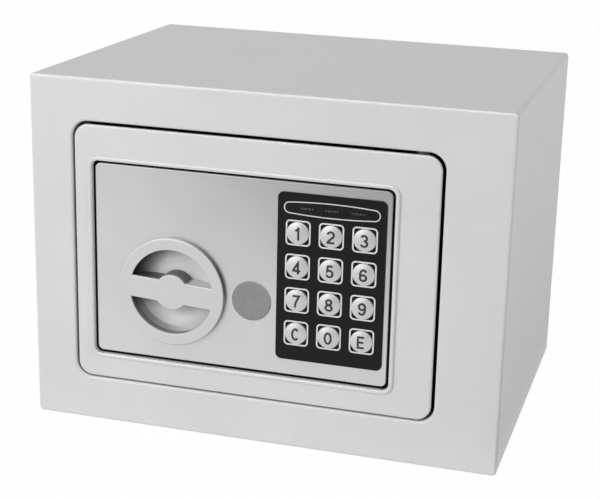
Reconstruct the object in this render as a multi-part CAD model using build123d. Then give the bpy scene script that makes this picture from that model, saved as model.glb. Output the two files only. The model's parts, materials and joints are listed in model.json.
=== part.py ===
from build123d import *
import math
import os

os.makedirs("parts", exist_ok=True)

# A small electronic safe. Millimetres, +Z up, the door faces -Y. The origin is the centre of the
# underside. Rectangles are (x0, x1, z0, z1) seen from the front; "depth" is measured back from the
# plane of the front face, so depth d lies at y = FRONT + d.

# ---------------------------------------------------------------- body
BODY_W, BODY_D, BODY_H = 230.0, 170.0, 170.0
FRONT = -BODY_D / 2
BODY_R = 2.0            # corner radius of the wrapped sheet
EDGE_R = 1.5            # rolled front edge
WRAP_T = 1.2            # body sheet
FRAME_T = 1.5           # front frame, rear panel, door skin
RIM_DEPTH = 4.0         # outer rim of the front frame, where the wrapper is butt welded
OPENING = (-93.9, 84.6, 22.0, 149.4)
OPENING_R = 8.0
OPENING_EDGE_R = 1.3
FLANGE_DEPTH = 14.0     # folded flange round the opening
STOP_D0 = 12.5          # front of the door stop lip
STOP_W = 4.2            # how far the lip reaches into the opening
STOP_END_X = 60.0       # the lip ends here, clear of the hinge
REAR_INSET = 0.5
REAR_FLANGE = 9.0
ANCHOR_SPACING = 100.0
ANCHOR_R = 4.5
REAR_ANCHOR_Z = 85.0
MAT_T = 2.0
MAT_X, MAT_Y0, MAT_Y1 = 110.0, -66.0, 74.0
MAT_HOLE_R = 7.0

# ---------------------------------------------------------------- door
DOOR = (-92.7, 83.0, 22.8, 147.95)
DOOR_R = 7.0
DOOR_DEPTH = 12.0       # folded edges of the door pan
DOOR_EDGE_R = 1.0
DOOR_STEP = 2.0         # the folded edges stand this far inside the door's outline
SEAL_INSET = 0.4        # the foam strip on them stays this far inside it
TRAY = (-83.75, 62.85, 35.3, 131.3)   # recess that holds the control panel
TRAY_R = 3.4
TRAY_DEPTH = 9.2
BEAD_W, BEAD_H = 2.1, 1.3            # embossed bead round the recess
HINGE_X, HINGE_D = 73.5, 5.0
PIN_R = 2.0
RUN_FIT = 0.05          # radial clearance of turning and sliding pairs
BLOCK_H = 8.0
WASHER_R = 3.2

# ---------------------------------------------------------------- control panel
FASCIA = (-82.45, 61.35, 36.65, 130.05)
FASCIA_R = 2.8
FASCIA_D = 0.5
FASCIA_T = 2.0
FASCIA_WALL = 1.5
RIB_X, RIB_STEP = 3.5, 30.0
BOSS_IN_X, BOSS_IN_Z = 8.6, 6.4     # screw bosses, in from the edges of the panel
OVERLAY = (7.85, 59.15, 44.4, 125.3)
OVERLAY_R = 2.8
OVERLAY_D, OVERLAY_BACK = 0.1, 2.5   # the keypad plate fills an opening in the panel
KEY_X = (17.75, 33.5, 49.25)
KEY_Z = (106.4, 90.2, 74.0, 57.8)
KEY_NAMES = (("1", "2", "3"), ("4", "5", "6"), ("7", "8", "9"), ("c", "0", "e"))
KEY_R = 5.2
KEY_HOLE_R = 5.45
KEY_TOP_D, KEY_BACK_D = -1.3, 3.4
WINDOW = (10.8, 56.1, 115.45, 120.9)
WINDOW_BOW = 0.8        # how far the window's long edges bow out
LED_X = (22.0, 33.5, 45.0)
PCB_D, PCB_T = 7.6, 1.6
PCB_RECT = (9.8, 57.2, 50.0, 120.2)
LEAD_HOLE = (33.4, 45.0)            # ribbon lead through the steel
COVER_CAP = (-4.3, 70.9)
COVER_CAP_R = 9.5

# ---------------------------------------------------------------- knob
KNOB = (-43.5, 71.1)
KNOB_R = 26.3
KNOB_FACE_R = 25.6      # flat ring face
KNOB_TOP_D = -2.2
DISH_R = 20.7           # finger recess
DISH_WALL_D = 2.0       # where the straight wall of the recess ends
DISH_FLOOR_D = 7.3
DISH_FLOOR_R = 10.5
DISH_T = 1.4
BAR_W = 10.6
BOSS_R = 8.5
RECESS_CORNER_R = 1.5   # where the bar meets the wall of the recess
KNOB_TILT = -3.3        # the bar's turn at rest, seen from the front

# ---------------------------------------------------------------- bolt work
BASE_T = 1.5
BASE_D = TRAY_DEPTH + FRAME_T       # front of the base plate, on the back of the door skin
BACK_D = BASE_D + BASE_T
COVER = (-80.5, 60.5, 36.5, 130.5)  # rear cover
COVER_T = 1.5
COVER_DEPTH = 38.0
SPINDLE_R = 5.0
CRANK_D0 = BACK_D + 0.4
CRANK_T = 2.0
BOLT_TRAVEL = 12.0
CRANK_R = BOLT_TRAVEL / 2 / math.sin(math.radians(45))
CRANK_PIN_R = 2.4
CARRIAGE_D0 = CRANK_D0 + CRANK_T + 0.4
CARRIAGE_T = 2.0
BOLT_R = 6.0
BOLT_D = 21.0
BOLT_Z = (46.0, 96.0)
BOLT_TIP_X = -86.5
FLANGE_X = -62.0
STUD_SPOTS = ((-50.0, 52.0), (-40.0, 86.5))     # fixed studs in the carriage slots
STUD_R = 2.0
CARRIAGE_X1 = -22.6
PLUNGER_X, PLUNGER_D = -30.0, 19.5
PLUNGER_R = 4.5
PLUNGER_TIP_Z = 92.4
PLUNGER_LIFT = 4.0
COLLAR_Z, COLLAR_R = 95.0, 6.2
CAM_PIN_ORBIT = PLUNGER_LIFT / 2 / math.sin(math.radians(45))
SOLENOID_Z0, SOLENOID_Z1 = 104.0, 124.0
LOCK_R = 9.0
LOCK_FACE_D = 4.4
LOCK_NUT_R = 13.0
KEYWAY_R = 3.6
PLUG_R = 4.5
CAM_D0 = 18.2
LIFT_D0 = CAM_D0 + 2.5
LIFT_T = 1.5

# ---------------------------------------------------------------- battery and reset button
CELL_R, CELL_L = 7.15, 49.0
CELL_PITCH = 14.6
CELL_X0 = 6.95
CONTACT_T = 0.8
NUB_L = 1.5
CELL_Z0 = 69.5
CELL_D = 27.0
CELL_COUNT = 4
BAY = (6.0, 58.4, 61.6, 121.0)      # inside of the battery bay
BAY_T = 1.2
BAY_D0 = 18.6
RESET = (42.0, 47.0)
PCB_BACK = 21.6         # back of the control board
SCREWS = ((-58.0, 123.5), (38.0, 125.8), (-14.0, 43.0), (55.0, 53.0))
SCREW_R = 1.25
SCREW_HEAD_R = 2.7
SCREW_HEAD_T = 1.5


# ---------------------------------------------------------------- helpers
def inset(rect, step):
    x0, x1, z0, z1 = rect
    return (x0 + step, x1 - step, z0 + step, z1 - step)


def rounded(rect, radius):
    x0, x1, z0, z1 = rect
    return Pos((x0 + x1) / 2, (z0 + z1) / 2) * RectangleRounded(x1 - x0, z1 - z0, radius)


def plain(rect):
    x0, x1, z0, z1 = rect
    return Pos((x0 + x1) / 2, (z0 + z1) / 2) * Rectangle(x1 - x0, z1 - z0)


def disc(centre, radius):
    return Pos(*centre) * Circle(radius)


def plate(sketch, d0, d1):
    """A front-view sketch extruded from depth d0 back to depth d1."""
    return extrude(Plane.XZ.offset(-(FRONT + d1)) * sketch, d1 - d0)


def block(x0, x1, d0, d1, z0, z1):
    return Pos((x0 + x1) / 2, FRONT + (d0 + d1) / 2, (z0 + z1) / 2) * Box(x1 - x0, d1 - d0, z1 - z0)


def rod_x(x0, x1, depth, z, radius):
    return Pos((x0 + x1) / 2, FRONT + depth, z) * Rot(0, 90, 0) * Cylinder(radius, x1 - x0)


def rod_z(x, depth, z0, z1, radius):
    return Pos(x, FRONT + depth, (z0 + z1) / 2) * Cylinder(radius, z1 - z0)


def turned(face, centre):
    """A (radius, depth) profile turned about an axis along Y through a point of the front view."""
    return Pos(centre[0], FRONT, centre[1]) * revolve(face, Axis.Y, 360)


def profile(*points):
    return make_face(Polyline(*points, close=True))


def edges_at_depth(solid, depth, slack=0.02):
    y = FRONT + depth
    return solid.edges().filter_by_position(Axis.Y, y - slack, y + slack)


def ring(outer, inner):
    return outer - inner


def save(node, *solids):
    shape = solids[0] if len(solids) == 1 else Compound(children=list(solids))
    shape.label = node
    export_step(shape, f"parts/{node}.step")


# ---------------------------------------------------------------- cabinet
def front_frame():
    outline = (-BODY_W / 2, BODY_W / 2, 0, BODY_H)
    skin = plate(rounded(outline, BODY_R), 0, RIM_DEPTH)
    skin = fillet(edges_at_depth(skin, 0), EDGE_R)
    skin -= plate(rounded(inset(outline, WRAP_T), BODY_R - WRAP_T), FRAME_T, RIM_DEPTH)
    folded = rounded(inset(OPENING, -FRAME_T), OPENING_R + FRAME_T)
    skin += plate(folded, FRAME_T / 2, FLANGE_DEPTH)
    skin -= plate(rounded(OPENING, OPENING_R), -1, FLANGE_DEPTH)
    skin = fillet(opening_edges(skin), OPENING_EDGE_R)
    lip = ring(rounded(inset(OPENING, -FRAME_T / 2), OPENING_R),
               rounded(inset(OPENING, STOP_W), OPENING_R - STOP_W + 2))
    lip = plate(lip, STOP_D0, FLANGE_DEPTH)
    x1 = BODY_W / 2
    lip -= block(STOP_END_X, x1, STOP_D0, FLANGE_DEPTH, 0, BODY_H)
    frame = skin + lip
    for z in (OPENING[2] - FRAME_T / 2, OPENING[3] + FRAME_T / 2):
        frame -= rod_z(HINGE_X, HINGE_D, z - FRAME_T, z + FRAME_T, PIN_R)
    return frame


def opening_edges(skin):
    x0, x1, z0, z1 = inset(OPENING, -0.1)
    edges = edges_at_depth(skin, 0)
    edges = edges.filter_by_position(Axis.X, x0, x1)
    return edges.filter_by_position(Axis.Z, z0, z1)


def cabinet_shell():
    outline = (-BODY_W / 2, BODY_W / 2, 0, BODY_H)
    wrap = ring(rounded(outline, BODY_R), rounded(inset(outline, WRAP_T), BODY_R - WRAP_T))
    wrap = plate(wrap, RIM_DEPTH, BODY_D)
    for x in (-ANCHOR_SPACING / 2, ANCHOR_SPACING / 2):
        wrap -= Pos(x, 0, WRAP_T / 2) * Cylinder(ANCHOR_R, 3 * WRAP_T)
    return wrap


def rear_panel():
    outline = inset((-BODY_W / 2, BODY_W / 2, 0, BODY_H), WRAP_T)
    radius = BODY_R - WRAP_T
    depth = BODY_D - REAR_INSET
    pan = plate(rounded(outline, radius), depth - REAR_FLANGE, depth)
    pan -= plate(plain(inset(outline, FRAME_T)), depth - REAR_FLANGE, depth - FRAME_T)
    for x in (-ANCHOR_SPACING / 2, ANCHOR_SPACING / 2):
        pan -= plate(disc((x, REAR_ANCHOR_Z), ANCHOR_R), depth - 2 * FRAME_T, depth + 1)
    return pan


def floor_mat():
    mat = Pos(0, (MAT_Y0 + MAT_Y1) / 2) * RectangleRounded(2 * MAT_X, MAT_Y1 - MAT_Y0, 3)
    for x in (-ANCHOR_SPACING / 2, ANCHOR_SPACING / 2):
        mat -= Pos(x, 0) * Circle(MAT_HOLE_R)
    return extrude(Plane.XY.offset(WRAP_T) * mat, MAT_T)


def hinge_brackets():
    top = OPENING[3] + FRAME_T
    bottom = OPENING[2] - FRAME_T
    pair = []
    for z0, z1 in ((top, top + 6), (bottom - 6, bottom)):
        lug = block(HINGE_X - 5, HINGE_X + 5, FRAME_T, HINGE_D + 5, z0, z1)
        lug = fillet(lug.edges().filter_by(Axis.Z).sort_by(Axis.Y)[-2:], 4)
        pair.append(lug - rod_z(HINGE_X, HINGE_D, z0, z1, PIN_R))
    return pair


def hinge_pins():
    top = OPENING[3] + FRAME_T + 6
    bottom = OPENING[2] - FRAME_T - 6
    pair = []
    inner = inset(DOOR, DOOR_STEP + FRAME_T)
    for z0, z1 in ((inner[3] - BLOCK_H - 1, top), (bottom, inner[2] + BLOCK_H + 1)):
        pin = rod_z(HINGE_X, HINGE_D, z0, z1, PIN_R)
        pair.append(chamfer(pin.edges().filter_by(GeomType.CIRCLE), 0.4))
    return pair


def hinge_washer(z0, thickness):
    washer = Circle(WASHER_R) - Circle(PIN_R + RUN_FIT)
    return Pos(HINGE_X, FRONT + HINGE_D) * extrude(Plane.XY.offset(z0) * washer, thickness)


# ---------------------------------------------------------------- door
def door_plate():
    pan = plate(rounded(DOOR, DOOR_R), 0, FRAME_T)
    pan = fillet(edges_at_depth(pan, 0), DOOR_EDGE_R)
    edge = inset(DOOR, DOOR_STEP)
    pan += plate(rounded(edge, DOOR_R - DOOR_STEP), FRAME_T / 2, DOOR_DEPTH)
    pan -= plate(rounded(inset(edge, FRAME_T), DOOR_R - DOOR_STEP - FRAME_T), FRAME_T, DOOR_DEPTH)
    bead = ring(rounded(inset(TRAY, -BEAD_W), TRAY_R + BEAD_W), rounded(TRAY, TRAY_R))
    bead = plate(bead, -BEAD_H, FRAME_T)
    bead = fillet(edges_at_depth(bead, -BEAD_H), 0.48 * BEAD_W)
    pan += bead
    pan += plate(rounded(inset(TRAY, -FRAME_T), TRAY_R + FRAME_T), FRAME_T / 2, BASE_D)
    pan -= plate(rounded(TRAY, TRAY_R), -BEAD_H, TRAY_DEPTH)
    holes = [disc(KNOB, SPINDLE_R + 2.5), disc(COVER_CAP, LOCK_R), disc(LEAD_HOLE, 4)]
    holes += [disc(spot, 1.3) for spot in SCREWS]
    holes += [disc(spot, 1.6) for spot in boss_spots()]
    for hole in holes:
        pan -= plate(hole, TRAY_DEPTH - 1, BASE_D + 1)
    for z in (edge[2] + FRAME_T / 2, edge[3] - FRAME_T / 2):
        pan -= rod_z(HINGE_X, HINGE_D, z - FRAME_T, z + FRAME_T, PIN_R + RUN_FIT)
    return pan


def hinge_blocks():
    pair = []
    inner = inset(DOOR, DOOR_STEP + FRAME_T)
    corner = plate(rounded(inner, DOOR_R - DOOR_STEP - FRAME_T), FRAME_T, DOOR_DEPTH)
    for z0 in (inner[2], inner[3] - BLOCK_H):
        lug = corner & block(HINGE_X - 5, DOOR[1], FRAME_T, HINGE_D + 5, z0, z0 + BLOCK_H)
        pair.append(lug - rod_z(HINGE_X, HINGE_D, z0, z0 + BLOCK_H, PIN_R + RUN_FIT))
    return pair


def door_seal():
    """Foam strip round the door's folded edges, cut clear of the hinge washers."""
    strip = ring(rounded(inset(DOOR, SEAL_INSET), DOOR_R - SEAL_INSET),
                 rounded(inset(DOOR, DOOR_STEP), DOOR_R - DOOR_STEP))
    strip = plate(strip, FRAME_T, DOOR_DEPTH - 0.5)
    reach = WASHER_R + 1.2
    strip -= block(HINGE_X - reach, HINGE_X + reach, 0, DOOR_DEPTH, 0, BODY_H)
    return strip.solids()


def boss_spots():
    """Centres of the four screw bosses behind the control panel."""
    x0, x1, z0, z1 = FASCIA
    x0, x1, z0, z1 = x0 + BOSS_IN_X, x1 - BOSS_IN_X, z0 + BOSS_IN_Z, z1 - BOSS_IN_Z
    return [(x, z) for x in (x0, x1) for z in (z0, z1)]


def fascia_gasket():
    seal = ring(rounded(TRAY, TRAY_R), rounded(FASCIA, FASCIA_R))
    return plate(seal, FASCIA_D + 2.2, TRAY_DEPTH)


def fascia_panel():
    back = FASCIA_D + FASCIA_T
    shell = plate(rounded(FASCIA, FASCIA_R), FASCIA_D, TRAY_DEPTH)
    shell = fillet(edges_at_depth(shell, FASCIA_D), 0.5)
    shell -= plate(rounded(inset(FASCIA, FASCIA_WALL), FASCIA_R - FASCIA_WALL), back, TRAY_DEPTH)
    for spot in boss_spots():
        shell += plate(disc(spot, 3.2), back - 0.5, TRAY_DEPTH)
    shell += plate(disc(KNOB, 24.6), back - 0.5, 6.0)
    shell += plate(disc(COVER_CAP, COVER_CAP_R + 1.9), back - 0.5, 7.0)
    mid_z = (FASCIA[2] + FASCIA[3]) / 2
    shell += block(RIB_X - 0.6, RIB_X + 0.6, back - 0.5, 6.0, FASCIA[2] + 1, FASCIA[3] - 1)
    for z in (mid_z + RIB_STEP, mid_z - RIB_STEP):
        shell += block(FASCIA[0] + 1, OVERLAY[0] - 2, back - 0.5, 6.0, z - 0.6, z + 0.6)
    shell -= plate(disc(KNOB, 22.9), -1, 7)
    shell -= plate(disc(COVER_CAP, COVER_CAP_R + 0.12), -1, 8)
    shell -= plate(rounded(OVERLAY, OVERLAY_R), -1, back + 1)
    for spot in boss_spots():
        shell -= plate(disc(spot, 1.2), back + 1, TRAY_DEPTH)
    return shell


def window_shape(step=0.0):
    """The indicator window: two long bowed edges and rounded ends."""
    x0, x1, z0, z1 = inset(WINDOW, step)
    mid = (x0 + x1) / 2
    edges = [ThreePointArc((x0, z1), (mid, z1 + WINDOW_BOW), (x1, z1)),
             Line((x1, z1), (x1, z0)),
             ThreePointArc((x1, z0), (mid, z0 - WINDOW_BOW), (x0, z0)),
             Line((x0, z0), (x0, z1))]
    face = make_face(edges)
    return fillet(face.vertices(), (z1 - z0) / 2 - 0.3)


def keypad_overlay():
    sheet = rounded(OVERLAY, OVERLAY_R) - window_shape(0.3)
    for x in KEY_X:
        for z in KEY_Z:
            sheet -= disc((x, z), KEY_HOLE_R)
    return plate(sheet, OVERLAY_D, OVERLAY_BACK)


def indicator_lens():
    return plate(window_shape(0.3), OVERLAY_D, OVERLAY_BACK - 1)


def indicator_leds():
    z = (WINDOW[2] + WINDOW[3]) / 2
    leds = []
    for x in LED_X:
        leds.append(plate(disc((x, z), 1.5), OVERLAY_BACK - 1, PCB_D))
    return leds


def keypad_pcb():
    return plate(plain(PCB_RECT), PCB_D, PCB_D + PCB_T)


def tact_switches():
    switches = []
    for x in KEY_X:
        for z in KEY_Z:
            body = block(x - 3, x + 3, 5.3, PCB_D, z - 3, z + 3)
            switches.append(body + plate(Pos(x, z) * RegularPolygon(1.8, 8), 4.5, 5.4))
    return switches


def key(centre):
    """A domed round cap with a retaining rim behind the keypad plate."""
    rim = OVERLAY_BACK + 0.15
    rim_r = KEY_R + 0.9
    edge = KEY_TOP_D + 0.85
    crown = ThreePointArc((0, KEY_TOP_D), (KEY_R * 0.55, KEY_TOP_D + 0.22), (KEY_R, edge))
    side = Polyline((KEY_R, edge), (KEY_R, rim), (rim_r, rim), (rim_r, KEY_BACK_D), (0, KEY_BACK_D), (0, KEY_TOP_D))
    dome = make_face([crown, side])
    return turned(dome, centre)


def key_cover():
    """Push-in cap over the override lock."""
    cap = turned(profile((0, FASCIA_D - 0.3), (COVER_CAP_R - 0.3, FASCIA_D - 0.3), (COVER_CAP_R, FASCIA_D),
                         (COVER_CAP_R, FASCIA_D + 1.2), (0, FASCIA_D + 1.2)), COVER_CAP)
    skirt = ring(disc(COVER_CAP, COVER_CAP_R - 0.15), disc(COVER_CAP, COVER_CAP_R - 0.75))
    skirt -= Pos(*COVER_CAP) * Rectangle(40, 11)
    return cap + plate(skirt, FASCIA_D + 1, FASCIA_D + 3.6)


# ---------------------------------------------------------------- knob
def knob():
    cx, cz = KNOB
    rim_d = FASCIA_D - 0.25
    edge_d = KNOB_TOP_D + KNOB_R - KNOB_FACE_R
    wall_r = DISH_R + DISH_T
    floor_r = DISH_FLOOR_R + 1
    back = DISH_FLOOR_D + DISH_T - 0.1
    outer = make_face([Line((0, KNOB_TOP_D), (KNOB_FACE_R, KNOB_TOP_D)),
                       ThreePointArc((KNOB_FACE_R, KNOB_TOP_D), (KNOB_R - 0.2, KNOB_TOP_D + 0.2),
                                     (KNOB_R, edge_d)),
                       Polyline((KNOB_R, edge_d), (KNOB_R, rim_d), (wall_r, rim_d)),
                       Line((wall_r, rim_d), (wall_r, DISH_WALL_D + 0.6)),
                       ThreePointArc((wall_r, DISH_WALL_D + 0.6), (wall_r - 4.2, DISH_FLOOR_D - 0.2),
                                     (floor_r, back)),
                       Line((floor_r, back), (0, back)),
                       Line((0, back), (0, KNOB_TOP_D))])
    hollow = make_face([Line((0, KNOB_TOP_D - 1), (DISH_R, KNOB_TOP_D - 1)),
                        Line((DISH_R, KNOB_TOP_D - 1), (DISH_R, DISH_WALL_D)),
                        ThreePointArc((DISH_R, DISH_WALL_D), (DISH_R - 3.7, DISH_FLOOR_D - 1.6),
                                      (DISH_FLOOR_R, DISH_FLOOR_D)),
                        Line((DISH_FLOOR_R, DISH_FLOOR_D), (0, DISH_FLOOR_D)),
                        Line((0, DISH_FLOOR_D), (0, KNOB_TOP_D - 1))])
    recess = turned(hollow, KNOB) & plate(finger_recess(), KNOB_TOP_D - 2, DISH_FLOOR_D + 1)
    body = turned(outer, KNOB) - recess
    body = fillet(edges_at_depth(body, KNOB_TOP_D).filter_by(lambda e: inside_ring(e)), 0.45)
    socket = Pos(cx, cz) * Rot(0, 0, KNOB_TILT) * Rectangle(8, 8)
    return body - plate(socket, 1.5, DISH_FLOOR_D + DISH_T)


def finger_recess():
    """Front view of the two hollows above and below the bar."""
    grip = Circle(BOSS_R) + Rectangle(2 * DISH_R + 4, BAR_W)
    grip = fillet([v for v in grip.vertices() if abs(v.X) < BOSS_R], 0.8)
    hollows = Sketch()
    for half in (Circle(DISH_R) - grip).faces():
        ends = half.vertices().sort_by(Axis.X)
        hollows += fillet([ends[0], ends[-1]], RECESS_CORNER_R)
    return Pos(*KNOB) * Rot(0, 0, KNOB_TILT) * hollows


def inside_ring(edge):
    """True for an edge of the knob face that belongs to the finger recesses."""
    spot = edge @ 0.5
    reach = math.hypot(spot.X - KNOB[0], spot.Z - KNOB[1])
    return reach < DISH_R + 0.5


def knob_spindle():
    back = DISH_FLOOR_D + DISH_T - 0.1
    turn = Pos(*KNOB) * Rot(0, 0, KNOB_TILT)
    shaft = plate(turn * Rectangle(8, 8), 1.5, back)
    shaft += plate(disc(KNOB, SPINDLE_R), back, CRANK_D0)
    return shaft + plate(turn * Rectangle(6, 6), CRANK_D0, CRANK_D0 + CRANK_T)


def spindle_bush():
    sleeve = ring(disc(KNOB, SPINDLE_R + 2.5), disc(KNOB, SPINDLE_R + RUN_FIT))
    return plate(sleeve, TRAY_DEPTH, BACK_D)


def crank_pin_spot():
    angle = math.radians(45)
    return (KNOB[0] + CRANK_R * math.sin(angle), KNOB[1] + CRANK_R * math.cos(angle))


def drive_crank():
    """Crank on the spindle; its pin drives the bolt carriage."""
    pin = crank_pin_spot()
    arm = disc(KNOB, 7.5) + disc(pin, 3.6)
    bridge = Pos(*KNOB) * Rot(0, 0, 45) * Pos(CRANK_R / 2, 0) * Rectangle(CRANK_R, 7.2)
    arm = arm + bridge - Pos(*KNOB) * Rot(0, 0, KNOB_TILT) * Rectangle(6, 6)
    crank = plate(arm, CRANK_D0, CRANK_D0 + CRANK_T)
    return crank + plate(disc(pin, CRANK_PIN_R), CRANK_D0 + CRANK_T, CARRIAGE_D0 + CARRIAGE_T + 1.5)


# ---------------------------------------------------------------- bolt work
def lock_base_plate():
    base = plain(inset(COVER, COVER_T))
    base -= disc(KNOB, SPINDLE_R + 2.5) + disc(COVER_CAP, LOCK_R) + disc(LEAD_HOLE, 4)
    for spot in SCREWS:
        base -= disc(spot, 1.3)
    for spot in boss_spots():
        base -= disc(spot, 3.4)
    bracket = plate(base, BASE_D, BACK_D)
    left = COVER[0] + COVER_T
    wall = block(left, left + BASE_T, BASE_D, 30, 38, 106)
    for z in BOLT_Z:
        wall -= rod_x(left - 1, left + BASE_T + 1, BOLT_D, z, BOLT_R + 0.1)
    return bracket + wall


def bolt_carriage():
    """Sliding plate with a folded flange that carries the two bolts."""
    back = CARRIAGE_D0 + CARRIAGE_T
    outline = Polyline((FLANGE_X - 2, 40), (CARRIAGE_X1, 40), (CARRIAGE_X1, 92), (-48, 92), (-54, 103),
                       (FLANGE_X - 2, 103), close=True)
    sheet = make_face(outline)
    pin = crank_pin_spot()
    width = 2 * (CRANK_PIN_R + 0.65)
    low = pin[1] - CRANK_PIN_R - 0.7
    high = KNOB[1] + CRANK_R + CRANK_PIN_R + 0.7
    sheet -= Pos(pin[0], (low + high) / 2) * RectangleRounded(width, high - low, width / 2 - 0.05)
    for x, z in STUD_SPOTS:
        sheet -= Pos(x + BOLT_TRAVEL / 2, z) * SlotCenterToCenter(BOLT_TRAVEL, 2 * (STUD_R + RUN_FIT))
    carriage = plate(sheet, CARRIAGE_D0, back)
    carriage += block(FLANGE_X - 2, FLANGE_X, CARRIAGE_D0, BOLT_D + BOLT_R, 40, 103)
    for z in BOLT_Z:
        carriage -= rod_x(FLANGE_X - 3, FLANGE_X + 1, BOLT_D, z, 3)
    return carriage


def guide_studs():
    studs = []
    foot_r, head_r = 3.2, 3.8
    foot = CARRIAGE_D0 - 0.3
    head = CARRIAGE_D0 + CARRIAGE_T + 0.3
    for spot in STUD_SPOTS:
        shape = profile((0, BACK_D), (foot_r, BACK_D), (foot_r, foot), (STUD_R, foot),
                        (STUD_R, head), (head_r, head), (head_r, head + 1.2), (0, head + 1.2))
        studs.append(turned(shape, spot))
    return studs


def locking_bolts():
    bolts = []
    for z in BOLT_Z:
        bar = rod_x(BOLT_TIP_X, FLANGE_X - 2, BOLT_D, z, BOLT_R)
        bar = chamfer(bar.edges().filter_by(GeomType.CIRCLE).sort_by(Axis.X)[0], 1.2)
        bar += rod_x(FLANGE_X - 2, FLANGE_X, BOLT_D, z, 3)
        bolts.append(bar + rod_x(FLANGE_X, FLANGE_X + 1.6, BOLT_D, z, 3.9))
    return bolts


def lock_barrel():
    """Fixed body of the override lock, clamped through the door."""
    bore = PLUG_R + RUN_FIT
    face, tail = LOCK_FACE_D, CAM_D0 - 0.4
    half = profile((bore, face), (LOCK_R - 0.4, face), (LOCK_R, face + 0.4), (LOCK_R, tail), (bore, tail))
    return turned(half, COVER_CAP)


def lock_nut():
    nut = Pos(*COVER_CAP) * RegularPolygon(LOCK_NUT_R, 6) - disc(COVER_CAP, LOCK_R)
    return plate(nut, BACK_D, BACK_D + 2.6)


def lock_plug():
    """Turning plug with the round key slot in its face."""
    plug = plate(disc(COVER_CAP, PLUG_R), LOCK_FACE_D + 0.2, CAM_D0)
    slot = ring(disc(COVER_CAP, KEYWAY_R), disc(COVER_CAP, KEYWAY_R - 1.3))
    slot += Pos(COVER_CAP[0], COVER_CAP[1] + KEYWAY_R) * Rectangle(1.4, 1.6)
    plug -= plate(slot, LOCK_FACE_D, LOCK_FACE_D + 6)
    return plug + plate(Pos(*COVER_CAP) * Rectangle(5, 5), CAM_D0, CAM_D0 + 1.3)


def cam_pin_spot():
    step = PLUNGER_LIFT / 2
    return (COVER_CAP[0] - step, COVER_CAP[1] - step)


def override_cam():
    """Disc on the plug whose pin lifts the solenoid plunger."""
    cam = plate(disc(COVER_CAP, 6.5) - Pos(*COVER_CAP) * Rectangle(5, 5), CAM_D0, CAM_D0 + 1.3)
    cam += plate(disc(COVER_CAP, 6.5), CAM_D0 + 1.3, CAM_D0 + 2.1)
    return cam + plate(disc(cam_pin_spot(), 1.5), CAM_D0 + 2, CAM_D0 + 5.5)


def lift_arm():
    """Folded arm from the plunger's collar down to the override cam's pin."""
    px, pz = cam_pin_spot()
    reach = COVER_CAP[0] - CAM_PIN_ORBIT
    x0, x1 = reach - 5, px + 5
    leg = plain((x0, x1, pz - 6, COLLAR_Z + LIFT_T))
    leg -= Pos((px + reach) / 2, pz) * SlotCenterToCenter(px - reach + 0.8, 2 * 2.0)
    arm = plate(leg, LIFT_D0, LIFT_D0 + LIFT_T)
    arm += block(PLUNGER_X, x1, PLUNGER_D - 3.5, LIFT_D0 + LIFT_T, COLLAR_Z, COLLAR_Z + LIFT_T)
    arm += rod_z(PLUNGER_X, PLUNGER_D, COLLAR_Z, COLLAR_Z + LIFT_T, COLLAR_R)
    return arm - rod_z(PLUNGER_X, PLUNGER_D, COLLAR_Z - 1, COLLAR_Z + LIFT_T + 1, PLUNGER_R)


def solenoid_plunger():
    rod = rod_z(PLUNGER_X, PLUNGER_D, PLUNGER_TIP_Z, SOLENOID_Z1 - 6, PLUNGER_R)
    rod = chamfer(rod.edges().filter_by(GeomType.CIRCLE).sort_by(Axis.Z)[0], 0.8)
    return rod + rod_z(PLUNGER_X, PLUNGER_D, COLLAR_Z - 1.4, COLLAR_Z, COLLAR_R)


def plunger_spring():
    """Return spring between the arm and the solenoid frame."""
    radius, wire, turns = 5.4, 0.45, 3
    base = COLLAR_Z + LIFT_T + wire
    height = SOLENOID_Z0 - wire - base
    path = Helix(pitch=height / turns, height=height, radius=radius)
    section = Plane(origin=path @ 0, z_dir=path % 0) * Rectangle(1.8 * wire, 1.8 * wire)
    coil = sweep(section, path=path)
    return Pos(PLUNGER_X, FRONT + PLUNGER_D, base) * coil


def solenoid_frame():
    x0, x1 = PLUNGER_X - 9, PLUNGER_X + 9
    strap = block(x0, x1, BACK_D, BACK_D + 1.2, SOLENOID_Z0, SOLENOID_Z1)
    for z in (SOLENOID_Z0, SOLENOID_Z1 - 1.5):
        strap += block(x0, x1, BACK_D, 27, z, z + 1.5)
    return strap - rod_z(PLUNGER_X, PLUNGER_D, SOLENOID_Z0 - 1, SOLENOID_Z0 + 2, PLUNGER_R + 0.3)


def solenoid_coil():
    z0, z1 = SOLENOID_Z0 + 1.5, SOLENOID_Z1 - 1.5
    coil = rod_z(PLUNGER_X, PLUNGER_D, z0 + 1, z1 - 1, 6.0)
    for z in (z0, z1 - 1):
        coil += rod_z(PLUNGER_X, PLUNGER_D, z, z + 1, 6.1)
    return coil - rod_z(PLUNGER_X, PLUNGER_D, z0, z1, PLUNGER_R + 0.3)


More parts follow.
